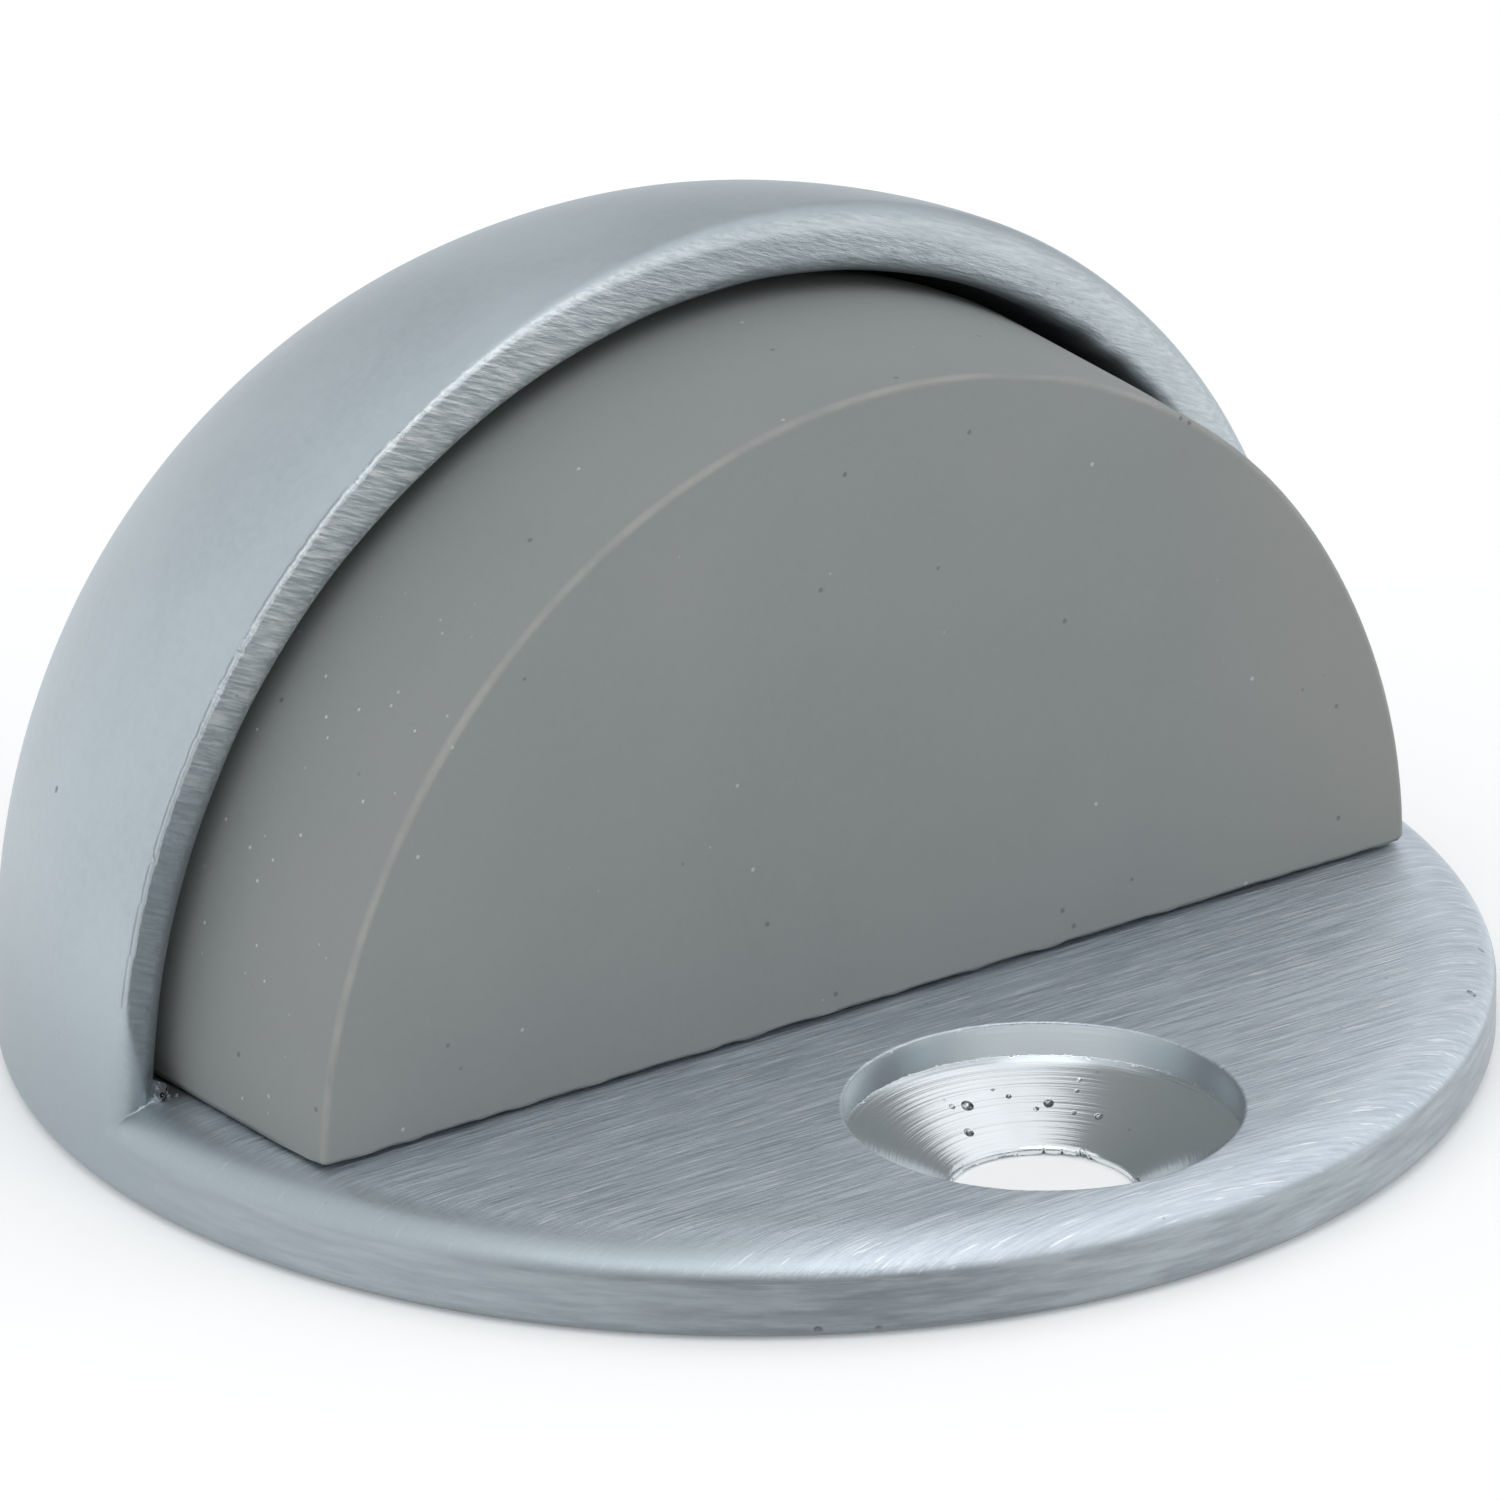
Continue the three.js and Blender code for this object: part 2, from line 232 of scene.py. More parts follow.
def casting_field(p):
    x, y, z = p.T
    r = np.hypot(x, y)
    side = r - BASE_RADIUS
    dome = ball(p, DOME_RADII, PLATE_TOP)
    outer = np.where(z > PLATE_TOP, dome, side)
    turn = arc_angle(x, z - PLATE_TOP)

    # A cast skin is never quite true: a few hundredths of slack waves, always inwards.
    outer = outer + 0.03 * (1 + ripple(p, 3, 11.0)) * ramp(z, 2.0, 5.0)
    # The grinding wheel left a shallow groove beside the crisp left edge of the rim.
    left = ramp(turn, 118, 140)
    groove = bell(y, RIM_Y + 0.42, 0.17) * left * ramp(z, 4.0, 7.0)
    outer = outer + 0.055 * groove * (1 + 0.5 * ripple(p, 5, 2.2))
    outer = meet(outer, -z, FLOOR_EDGE)

    inner = ball(p, INNER_RADII, PLATE_TOP)
    chatter = bell(turn, 47, 6) * np.sin(turn * 1.1)
    inner = inner + 0.05 * chatter * (1 - ramp(y, 2.0, 4.0)) + 0.03 * ripple(p, 9, 4.0)
    rim = RIM_Y - y + 0.025 * (1 + ripple(p, 7, 3.5))
    # The rim's outer edge is crisp at the left, soft at the right and at the left foot.
    right = 1 - ramp(turn, 62, 128)
    foot = (1 - ramp(z, 3.6, 7.0)) * (1 - right)
    hood = meet(outer, rim, 0.13 + 0.95 * right + 0.85 * foot)
    hood = meet(hood, -inner, 0.45 + 0.25 * bell(turn, 85, 45) + 0.35 * left)

    # The plate's shoulder is a quarter ellipse; a and b run from 0 at its centre to 1.
    a = (r - (BASE_RADIUS - SHOULDER_WIDTH)) / SHOULDER_WIDTH
    b = (z - (PLATE_TOP - SHOULDER_HEIGHT)) / SHOULDER_HEIGHT
    k = np.hypot(np.maximum(a, 0), np.maximum(b, 0))
    slope = np.hypot(np.maximum(a, 0) / SHOULDER_WIDTH, np.maximum(b, 0) / SHOULDER_HEIGHT)
    shoulder = k * (k - 1) / np.maximum(slope, 1e-9)
    flat = np.maximum(side, z - PLATE_TOP)
    plate = np.where((a > 0) & (b > 0), shoulder, flat)
    plate = plate + 0.012 * (1 + ripple(p * np.array((0.5, 1.6, 1.0)), 13, 6.0)) * ramp(z, 1.6, 2.6)
    plate = meet(plate, -z, FLOOR_EDGE)

    solid = np.minimum(plate, hood)
    for centre, radius in BURRS:
        solid = np.minimum(solid, sphere(p, centre, radius))
    solid = meet(solid, -bore_field(p), 0.09)
    for screw_x in SCREW_X:
        solid = np.maximum(solid, -screw_hole_field(p, screw_x))
    for centre, radius in pores():
        solid = meet(solid, -sphere(p, centre, radius), 0.02)
    for centre, radius in KNOCKS:
        solid = meet(solid, -sphere(p, centre, radius), 0.05)
    return solid


# ---------------------------------------------------------------- rubber bumper

def nut_pocket_field(p, gap):
    """The nut plate's outline, wider all round by the gap."""
    half = np.array((NUT_HALF_SIZE[0] + gap, NUT_HALF_SIZE[1] + gap))
    corner = NUT_CORNER + gap
    q = np.abs(p[:, :2] - np.array((0.0, NUT_Y))) - half + corner
    flat = np.linalg.norm(np.maximum(q, 0), axis=1) + np.minimum(q.max(axis=1), 0) - corner
    return np.maximum(flat, p[:, 2] - (nut_high[2] + gap))


def bumper_field(p):
    x, y, z = p.T
    h = z - BUMPER_CENTRE
    turn = arc_angle(x, h)
    side = np.hypot(x, h) - BUMPER_RADIUS
    near = 1 - ramp(y, BUMPER_FRONT + 0.8, BUMPER_FRONT + 3.5)
    trim = 0.10 * bell(turn, 74, 3.0) - 0.05 * bell(turn, 67, 3.0) + 0.04 * ripple(p, 21, 9.0)
    side = side + (0.05 + trim) * near + 0.02 * (1 + ripple(p, 22, 14.0))
    back = np.linalg.norm(np.stack((x, y, h)), axis=0) - BUMPER_BALL
    side = np.maximum(side, np.where(y > 0, back + 0.03, side))
    front = BUMPER_FRONT - y + 0.03 * (1 + ripple(p, 23, 16.0))
    rubber = meet(side, front, 0.12 + 0.10 * (1 - ramp(turn, 20, 60)))
    rubber = meet(rubber, y - BUMPER_BACK, 0.3)
    ragged = 0.05 * (1 + ripple(p, 29, 1.1)) * (1 - ramp(y, BUMPER_FRONT + 0.3, BUMPER_FRONT + 0.9))
    rubber = meet(rubber, BUMPER_BOTTOM - z + ragged, 0.08)
    rubber = np.maximum(rubber, -nut_pocket_field(p, NUT_POCKET_GAP))
    for screw_x in SCREW_X:
        q = screw_distance(p, screw_x)
        bore = np.maximum(q - SCREW_HOLE_RADIUS, z - (SCREW_TIP + 1.0))
        rubber = np.maximum(rubber, -bore)
    return rubber


# ---------------------------------------------------------------- nut plate and screws

def nut_plate_field(p):
    z = p[:, 2]
    plate = meet(nut_pocket_field(p, 0.0), nut_low[2] - z, 0.25)
    for screw_x in SCREW_X:
        q = screw_distance(p, screw_x)
        plate = meet(plate, NUT_HOLE_RADIUS - q, 0.15)
    return plate


def screw_field(p, screw_x):
    x, y, z = p[:, 0] - screw_x, p[:, 1] - NUT_Y, p[:, 2] - SCREW_FOOT
    q = np.hypot(x, y)
    length = SCREW_TIP - SCREW_FOOT
    # A rolled thread, cut inwards from the shank's full radius.
    phase = z / THREAD_PITCH - np.arctan2(y, x) / (2 * math.pi)
    thread = THREAD_DEPTH / 2 * (1 + np.cos(2 * math.pi * phase)) * ramp(z, 2.0, 2.6)
    shank = q - SHANK_RADIUS + thread
    shank = np.maximum(shank, (q - SHANK_RADIUS + z - (length - 0.4)) / math.sqrt(2))
    head = (q - HEAD_CONE_RADIUS + z) / math.sqrt(2)
    head = meet(head, q - HEAD_RADIUS, 0.05)
    screw = np.minimum(head, np.maximum(shank, z - length))
    screw = meet(screw, -z, 0.06)
    for u, v in ((x, y), (y, x)):
        sides = np.maximum(np.abs(u) - SLOT_HALF_LENGTH, np.abs(v) - SLOT_HALF_WIDTH + SLOT_TAPER * z)
        slot = np.maximum(sides, z - SLOT_DEPTH)
        screw = meet(screw, -slot, 0.04)
    return screw


# ---------------------------------------------------------------- making the meshes

def gradient(field, p, step=0.012):
    slopes = []
    for axis in range(3):
        shift = np.zeros(3)
        shift[axis] = step
        slopes.append((field(p + shift) - field(p - shift)) / (2 * step))
    return np.stack(slopes, axis=1)


def unit_normals(field, p):
    slope = gradient(field, p)
    return slope / np.maximum(np.linalg.norm(slope, axis=1), 1e-6)[:, None]


def settle(field, p, rounds, reach=0.6):
    """Moves each point onto the surface where the field is zero, at most reach away."""
    start = p.copy()
    for _ in range(rounds):
        slope = gradient(field, p)
        square = np.maximum((slope ** 2).sum(axis=1), 0.05)
        p = p - slope * (field(p) / square)[:, None]
        away = p - start
        length = np.maximum(np.linalg.norm(away, axis=1), 1e-9)
        p = start + away * np.minimum(1, reach / length)[:, None]
    return p


def remeshed(name, voxel):
    """The CAD node's mesh again in even small faces."""
    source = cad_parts[name]
    copy = bpy.data.objects.new("remesh", source.data.copy())
    bpy.context.scene.collection.objects.link(copy)
    copy.matrix_world = source.matrix_world
    remesh = copy.modifiers.new("remesh", "REMESH")
    remesh.mode = "VOXEL"
    remesh.voxel_size = voxel * MM
    bpy.context.view_layer.update()
    seen = copy.evaluated_get(bpy.context.evaluated_depsgraph_get())
    mesh = bpy.data.meshes.new_from_object(seen)
    mesh.transform(copy.matrix_world)
    bpy.data.objects.remove(copy)
    return mesh


def points_of(bm):
    flat = np.array([c for v in bm.verts for c in v.co])
    return flat.reshape(-1, 3) / MM


def put_points(bm, p):
    for vert, co in zip(bm.verts, p * MM):
        vert.co = co


def refine(bm, field, wanted, shortest):
    """Splits the edges that wanted picks, if longer than shortest, and settles the points."""
    bm.verts.index_update()
    p = points_of(bm)
    normals = unit_normals(field, p)
    edges = list(bm.edges)
    ends = np.array([(e.verts[0].index, e.verts[1].index) for e in edges])
    length = np.linalg.norm(p[ends[:, 0]] - p[ends[:, 1]], axis=1)
    chosen = wanted(p, normals, ends) & (length > shortest)
    picked = [e for e, keep in zip(edges, chosen) if keep]
    if picked:
        bmesh.ops.subdivide_edges(bm, edges=picked, cuts=1, use_grid_fill=True)
        bmesh.ops.triangulate(bm, faces=[f for f in bm.faces if len(f.verts) > 4])
    put_points(bm, settle(field, points_of(bm), 3, reach=0.15))


def build(name, node, field, voxel, passes, masks=None):
    """A finished piece from a CAD node: remeshed, settled, refined and shaded by the field."""
    bm = bmesh.new()
    source = remeshed(node, voxel)
    bm.from_mesh(source)
    bpy.data.meshes.remove(source)
    put_points(bm, settle(field, points_of(bm), 5))
    for wanted, shortest in passes:
        refine(bm, field, wanted, shortest)
    bmesh.ops.dissolve_degenerate(bm, edges=bm.edges[:], dist=0.002 * MM)
    bmesh.ops.triangulate(bm, faces=bm.faces[:])
    mesh = bpy.data.meshes.new(name)
    bm.to_mesh(mesh)
    bm.free()
    mesh.validate()
    p = np.empty(len(mesh.vertices) * 3)
    mesh.vertices.foreach_get("co", p)
    p = p.reshape(-1, 3) / MM
    normals = unit_normals(field, p)
    for label, values in (masks(p, normals) if masks else {}).items():
        layer = mesh.attributes.new(label, "FLOAT", "POINT")
        layer.data.foreach_set("value", values.astype(np.float32))
    mesh.polygons.foreach_set("use_smooth", [True] * len(mesh.polygons))
    mesh.normals_split_custom_set_from_vertices(normals)
    piece = bpy.data.objects.new(name, mesh)
    bpy.context.scene.collection.objects.link(piece)
    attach(piece, "root")
    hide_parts(node)
    return piece


def bent(limit):
    """Edges whose two ends face more than limit degrees apart."""
    least = math.cos(math.radians(limit))

    def wanted(p, normals, ends):
        return (normals[ends[:, 0]] * normals[ends[:, 1]]).sum(axis=1) < least
    return wanted


def near_marks(reach):
    """Edges close to a pore, a knock or a burr."""
    spots = [(np.array(c), r) for c, r in KNOCKS + BURRS] + list(pores())

    def wanted(p, normals, ends):
        middle = (p[ends[:, 0]] + p[ends[:, 1]]) / 2
        close = np.zeros(len(ends), dtype=bool)
        for centre, radius in spots:
            close |= np.linalg.norm(middle - centre, axis=1) < radius + reach
        return close
    return wanted


def in_bore(p, normals, ends):
    """Edges on the counterbore's wall and cone."""
    q = bore_distance(p)
    inside = (q < BORE_RADIUS + 0.3) & (p[:, 2] > 0.1)
    return inside[ends[:, 0]] & inside[ends[:, 1]]


def casting_masks(p, n):
    """Where each tone and finish of the casting lies, and where light and shade are painted into its
    colour, 0 to 1.

    Bore, plate, wall and hollow are kept off the flat underside, which has the skin's tone.
    """
    x, y, z = p.T
    r = np.hypot(x, y)
    q = bore_distance(p)
    in_hole = 1 - ramp(q, HOLE_RADIUS + 0.05, HOLE_RADIUS + 0.2)
    bore = 1 - ramp(q, BORE_RADIUS - 0.07, BORE_RADIUS + 0.07)
    bore = bore * (1 - ramp(z, PLATE_TOP - 0.12, PLATE_TOP - 0.02))
    bore = bore * np.maximum(ramp(z, 0.05, 0.15), in_hole)
    front = 1 - ramp(y, 1.15, 1.3)
    rim = ramp(-n[:, 1], 0.45, 0.9) * ramp(y, 0.9, 1.15) * ramp(z, 3.1, 3.3)
    plate = ramp(n[:, 2], 0.15, 0.60) * front * (1 - bore) * (1 - rim)
    shoulder = ramp(r, BASE_RADIUS - 1.9, BASE_RADIUS - 0.9)
    plate = plate * (1 - shoulder * (0.12 + 0.80 * ramp(-x, 9, 17)))
    # The wall mask carries the wall's brush marks and a painted shade over the wall's front half, weaker
    # at its left.
    wall = (1 - ramp(n[:, 2], 0.1, 0.5)) * (1 - ramp(z, 2.6, 3.1)) * (1 - bore)
    wall = wall * ramp(r, BASE_RADIUS - 2, BASE_RADIUS - 1) * (1 - ramp(y, -9, 5))
    wall = wall * (0.55 + 0.45 * ramp(x, -17, -6)) * (1 - ramp(-n[:, 2], 0.5, 0.9))
    # hollow marks the inside of the hood: made dull, and painted dark as shade in the recess.
    inner = ball(p, INNER_RADII, PLATE_TOP)
    hollow = ramp(-inner, -0.35, -0.1)
    hollow = hollow * ramp(y, 0, 1) * (1 - rim) * ramp(z, PLATE_TOP - 0.5, PLATE_TOP - 0.1)
    faces = np.degrees(np.arctan2(y, x))
    # A dark patch on the front of the wall, under the shoulder.
    scuff = wall * bell(faces, -124, 24)
    turn = arc_angle(x, z - PLATE_TOP)
    # pit marks the pores and knocks, which are painted dark as shade in their hollows.
    pit = np.zeros(len(p))
    for centre, radius in pores():
        pit = np.maximum(pit, 1 - ramp(sphere(p, centre, radius), 0.0, 0.02))
    for centre, radius in KNOCKS:
        pit = np.maximum(pit, 0.6 * (1 - ramp(sphere(p, centre, radius), 0.0, 0.03)))
    return {"bore": bore, "rim": rim, "plate": plate, "wall": wall, "hollow": hollow,
            "scuff": scuff, "pit": pit,
            # rim_foot marks the rim's left foot: its fewer cuts are a less-ground finish, its darker
            # colour partly painted shade.
            # rim_left marks the rim from its top round to its left, where a painted highlight lightens
            # the ground face.
            "rim_left": ramp(turn, 85, 115), "rim_foot": ramp(turn, 138, 162),
            # "low" is painted shade: the metal's colour darkens towards the floor, below 9 mm.
            "low": 1 - ramp(z, 1.5, 9)}


def bumper_masks(p, n):
    face = 1 - ramp(p[:, 1], BUMPER_FRONT + 0.1, BUMPER_FRONT + 0.3)
    side = ramp(p[:, 1], BUMPER_FRONT + 0.5, BUMPER_FRONT + 1.0) * ramp(-p[:, 0], 12, 17)
    return {"right": ramp(p[:, 0], 10, 20.5) * face, "flecked": side}


# ---------------------------------------------------------------- materials

class Look:
    """A node material with short calls for the nodes used here."""

    def __init__(self, name):
        self.material = bpy.data.materials.new(name)
        self.material.use_nodes = True
        self.tree = self.material.node_tree
        self.tree.nodes.clear()
        self.output = self.tree.nodes.new("ShaderNodeOutputMaterial")
        self.shader = self.tree.nodes.new("ShaderNodeBsdfPrincipled")
        self.link(self.shader.outputs[0], self.output.inputs[0])
        self.coords = self.tree.nodes.new("ShaderNodeTexCoord").outputs["Object"]

    def link(self, source, target):
        self.tree.links.new(source, target)

    def feed(self, socket, value):
        if isinstance(value, bpy.types.NodeSocket):
            self.link(value, socket)
        else:
            socket.default_value = value

    def place(self, scale, turn=(0, 0, 0), source=None):
        """Object coordinates turned, then scaled to counts per millimetre."""
        turned = self.tree.nodes.new("ShaderNodeMapping")
        self.link(source or self.coords, turned.inputs["Vector"])
        turned.inputs["Rotation"].default_value = [math.radians(a) for a in turn]
        scaled = self.tree.nodes.new("ShaderNodeMapping")
        self.link(turned.outputs[0], scaled.inputs["Vector"])
        scaled.inputs["Scale"].default_value = [s / MM for s in scale]
        return scaled.outputs[0]

    def noise(self, vector, detail=2.0, rough=0.5):
        node = self.tree.nodes.new("ShaderNodeTexNoise")
        self.link(vector, node.inputs["Vector"])
        node.inputs["Scale"].default_value = 1.0
        node.inputs["Detail"].default_value = detail
        node.inputs["Roughness"].default_value = rough
        return node.outputs["Fac"]

    def mask(self, name):
        node = self.tree.nodes.new("ShaderNodeAttribute")
        node.attribute_name = name
        return node.outputs["Fac"]

    def math(self, operation, a, b=0.0):
        node = self.tree.nodes.new("ShaderNodeMath")
        node.operation = operation
        self.feed(node.inputs[0], a)
        self.feed(node.inputs[1], b)
        return node.outputs[0]

    def span(self, value, low, high, to_low=0.0, to_high=1.0):
        node = self.tree.nodes.new("ShaderNodeMapRange")
        node.clamp = True
        self.feed(node.inputs["Value"], value)
        node.inputs["From Min"].default_value = low
        node.inputs["From Max"].default_value = high
        node.inputs["To Min"].default_value = to_low
        node.inputs["To Max"].default_value = to_high
        return node.outputs["Result"]

    def mix(self, amount, a, b):
        """Colour a turning into colour b as the amount goes from 0 to 1."""
        # The node has sockets for each data type; 6 and 7 are its colours, 2 their result.
        node = self.tree.nodes.new("ShaderNodeMix")
        node.data_type = "RGBA"
        self.feed(node.inputs["Factor"], amount)
        self.feed(node.inputs[6], a)
        self.feed(node.inputs[7], b)
        return node.outputs[2]

    def blend(self, amount, a, b):
        """The same as mix, for single values."""
        node = self.tree.nodes.new("ShaderNodeMix")
        node.data_type = "FLOAT"
        self.feed(node.inputs[0], amount)
        self.feed(node.inputs[2], a)
        self.feed(node.inputs[3], b)
        return node.outputs[0]

    def xyz(self):
        """The object coordinates as three separate values."""
        node = self.tree.nodes.new("ShaderNodeSeparateXYZ")
        self.link(self.coords, node.inputs[0])
        return node.outputs[0], node.outputs[1], node.outputs[2]

    def hypot(self, a, b):
        squares = self.math("ADD", self.math("MULTIPLY", a, a), self.math("MULTIPLY", b, b))
        return self.math("SQRT", squares)

    def bump(self, height, distance, under=None):
        """A normal with the height's relief, added to the normal under it."""
        node = self.tree.nodes.new("ShaderNodeBump")
        node.inputs["Strength"].default_value = 1.0
        node.inputs["Distance"].default_value = distance * MM
        self.link(height, node.inputs["Height"])
        if under is not None:
            self.link(under, node.inputs["Normal"])
        return node.outputs[0]

    def spots(self, scale, size, seed_shift=0.0):
        """1 inside small scattered spots, 0 elsewhere."""
        node = self.tree.nodes.new("ShaderNodeTexVoronoi")
        shifted = self.tree.nodes.new("ShaderNodeMapping")
        self.link(self.place((scale, scale, scale)), shifted.inputs["Vector"])
        shifted.inputs["Location"].default_value = (seed_shift, seed_shift, seed_shift)
        self.link(shifted.outputs[0], node.inputs["Vector"])
        node.inputs["Scale"].default_value = 1.0
        return self.span(node.outputs["Distance"], size * 0.6, size, 1.0, 0.0)


def rgb(red, green, blue):
    """A colour given as linear light."""
    return (red, green, blue, 1.0)


def satin_look():
    look = Look("satin_casting")
    rim, plate, bore = look.mask("rim"), look.mask("plate"), look.mask("bore")
    wall, hollow = look.mask("wall"), look.mask("hollow")

    # Colour: bluish white metal, clouded softly on the dome, streaked on the plate.
    cloud = look.noise(look.place((0.16, 0.16, 0.16)), 3.0, 0.55)
    base = look.mix(look.span(cloud, 0.35, 0.65), rgb(0.428, 0.487, 0.522), rgb(0.482, 0.543, 0.577))
    fine = look.noise(look.place((2.6, 2.6, 2.6)), 4.0, 0.65)
    base = look.mix(look.span(fine, 0.35, 0.65, 0.0, 0.38), base, rgb(0.515, 0.575, 0.603))
    # Painted shade: by the low mask the metal is painted darker towards the floor.
    base = look.mix(look.math("MULTIPLY", look.mask("low"), 0.75), base, rgb(0.355, 0.405, 0.435))
    skin_and_low_shade_colour = base
    streak = look.noise(look.place((0.30, 11.0, 2.0)), 4.0, 0.68)
    long_streak = look.noise(look.place((0.10, 1.8, 1.8)), 3.0, 0.6)
    plate_tone = look.span(look.math("ADD", look.math("MULTIPLY", streak, 0.75),
                                     look.math("MULTIPLY", long_streak, 0.25)), 0.36, 0.64)
    plate_colour = look.mix(plate_tone, rgb(0.55, 0.615, 0.685), rgb(0.81, 0.87, 0.93))
    base = look.mix(plate, base, plate_colour)
    glint = look.span(look.noise(look.place((0.55, 12.0, 2.0), (0, 0, 1)), 2.0, 0.5), 0.63, 0.70)
    base = look.mix(look.math("MULTIPLY", glint, plate), base, rgb(0.95, 0.97, 1.0))
    left, foot = look.mask("rim_left"), look.mask("rim_foot")
    hair = look.noise(look.place((0.75, 9.0, 9.0), (0, -25, 0)), 3.0, 0.6)
    rim_colour = look.mix(look.span(hair, 0.38, 0.66), rgb(0.46, 0.515, 0.545), rgb(0.64, 0.70, 0.725))
    # Painted highlight: from the top of the rim round to its left, the ground face is painted much
    # lighter.
    rim_colour = look.mix(left, rim_colour, look.mix(look.span(hair, 0.40, 0.64),
                                                     rgb(0.63, 0.70, 0.735), rgb(0.97, 1.0, 1.0)))
    # At the foot the rim takes the skin's darker colour: partly a less-ground finish, partly painted
    # shade.
    rim_colour = look.mix(foot, rim_colour, skin_and_low_shade_colour)
    base = look.mix(rim, base, rim_colour)
    base = look.mix(bore, base, rgb(0.80, 0.84, 0.86))
    smear = look.noise(look.place((0.35, 0.35, 3.2)), 4.0, 0.6)
    # The wall's front half is painted darker: smeared streaks, and painted shade over the whole of it.
    wall_smear_and_shade = look.mix(look.span(smear, 0.35, 0.65), rgb(0.31, 0.345, 0.37), rgb(0.48, 0.525, 0.555))
    base = look.mix(look.math("MULTIPLY", wall, 0.8), base, wall_smear_and_shade)
    # A dark patch on the wall's front, broken up by the smear.
    front_dark_patch_amount = look.math("MULTIPLY", look.mask("scuff"), look.span(smear, 0.3, 0.6, 1.0, 0.60))
    base = look.mix(front_dark_patch_amount, base, rgb(0.15, 0.17, 0.185))
    # Painted shade: the inside of the hood is painted dark.
    base = look.mix(look.math("MULTIPLY", hollow, 0.9), base, rgb(0.20, 0.21, 0.22))
    specks = look.spots(0.8, 0.055)
    base = look.mix(look.math("MULTIPLY", specks, 0.35), base, rgb(0.30, 0.31, 0.33))
    # Painted shade in the pores and knocks.
    base = look.mix(look.math("MULTIPLY", look.mask("pit"), 0.8), base, rgb(0.10, 0.11, 0.12))
    look.feed(look.shader.inputs["Base Color"], base)
    look.shader.inputs["Metallic"].default_value = 1.0

    # Roughness: satin skin, streaky plate and rim, a turned bore almost polished, a dull inside.
    rough = look.span(cloud, 0.3, 0.7, 0.40, 0.48)
    rough = look.blend(plate, rough, look.span(streak, 0.35, 0.65, 0.44, 0.58))
    rough = look.blend(rim, rough, look.span(hair, 0.35, 0.65, 0.40, 0.56))
    rough = look.blend(wall, rough, look.span(smear, 0.3, 0.7, 0.34, 0.46))
    rough = look.blend(bore, rough, 0.15)
    rough = look.blend(hollow, rough, 0.62)
    look.feed(look.shader.inputs["Roughness"], rough)

    # Relief: brush lines, grinding hairlines, turning rings and the cast skin.
    lines = look.noise(look.place((0.40, 19.0, 3.0)), 3.0, 0.65)
    normal = look.bump(look.math("MULTIPLY", lines, plate), 0.017)
    deep = look.span(look.noise(look.place((0.30, 6.0, 6.0), (0, 0, 3)), 2.0, 0.5), 0.58, 0.70)
    normal = look.bump(look.math("MULTIPLY", deep, plate), 0.006, normal)
    cuts = look.noise(look.place((2.0, 10.0, 10.0), (0, -25, 0)), 4.0, 0.65)
    cut_depth = look.math("MULTIPLY", rim, look.span(foot, 0.0, 1.0, 1.0, 0.25))
    normal = look.bump(look.math("MULTIPLY", cuts, cut_depth), 0.032, normal)
    skin = look.noise(look.place((6.0, 6.0, 6.0)), 3.0, 0.6)
    smooth = look.math("SUBTRACT", 1.0, bore)
    normal = look.bump(look.math("MULTIPLY", skin, smooth), 0.006, normal)
    brushed = look.noise(look.place((0.5, 0.5, 9.0)), 3.0, 0.6)
    normal = look.bump(look.math("MULTIPLY", brushed, wall), 0.030, normal)
    normal = look.bump(look.math("MULTIPLY", bore_rings(look), bore), 0.012, normal)
    look.feed(look.shader.inputs["Normal"], normal)
    return look.material


def bore_rings(look):
    """Turning marks: a noise that changes quickly with the distance from the hole's axis."""
    x, y, z = look.xyz()
    q = look.hypot(x, look.math("SUBTRACT", y, BORE_Y * MM))
    joined = look.tree.nodes.new("ShaderNodeCombineXYZ")
    look.link(q, joined.inputs[0])
    look.link(look.math("MULTIPLY", x, 0.02), joined.inputs[1])
    look.link(z, joined.inputs[2])
    return look.noise(look.place((7.0, 1.0, 7.0), source=joined.outputs[0]), 3.0, 0.6)


def rubber_edge(look):
    """1 along the trimmed front edge of the rubber's arc."""
    x, y, z = look.xyz()
    rho = look.hypot(x, look.math("SUBTRACT", z, BUMPER_CENTRE * MM))
    outer = look.span(rho, (BUMPER_RADIUS - 0.30) * MM, (BUMPER_RADIUS - 0.15) * MM)
    front = look.span(y, (BUMPER_FRONT + 0.08) * MM, (BUMPER_FRONT + 0.30) * MM, 1, 0)
    return look.math("MULTIPLY", outer, front)


